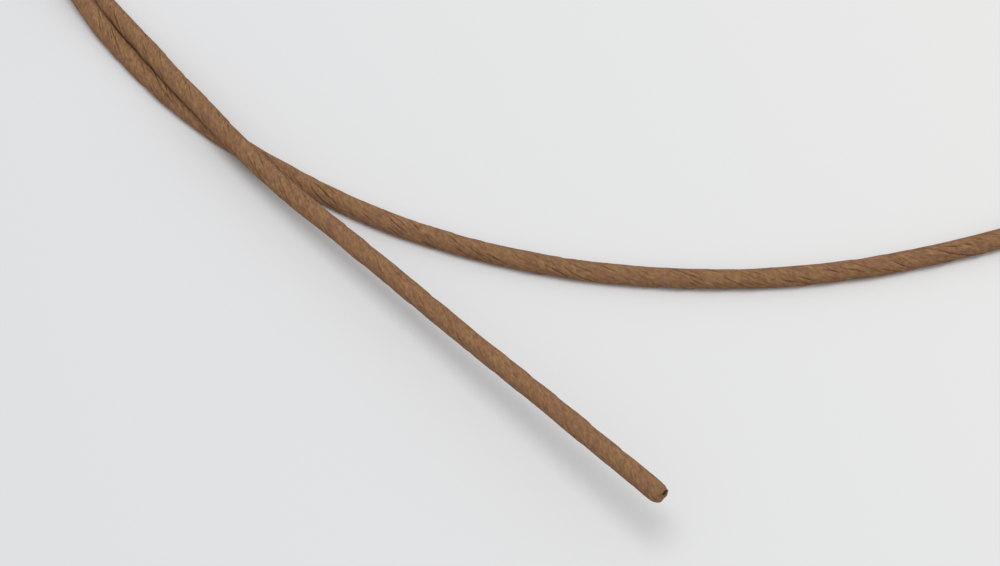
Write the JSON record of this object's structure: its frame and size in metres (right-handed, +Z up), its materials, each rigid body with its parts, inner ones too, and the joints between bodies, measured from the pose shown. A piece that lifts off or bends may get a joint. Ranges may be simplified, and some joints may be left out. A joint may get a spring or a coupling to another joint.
{
  "type": "paper-covered craft wire",
  "caption": "Length of soft steel craft wire wrapped in twisted brown kraft paper, lying as a loose oval loop with one cut end crossing over and standing free.",
  "frame": {"origin": "centre of the overall box in plan, on the table that the loop lies on", "axes": "+Z up from the table, +X along the loop's longer side, +Y away from the free end's side"},
  "size_m": [0.1276, 0.105, 0.0089],
  "materials": {
    "kraft_paper": "matte",
    "annealed_steel": "satin"
  },
  "bodies": {
    "root": {"core_wire": "annealed_steel", "paper_wrap": "kraft_paper"}
  },
  "joints": []
}
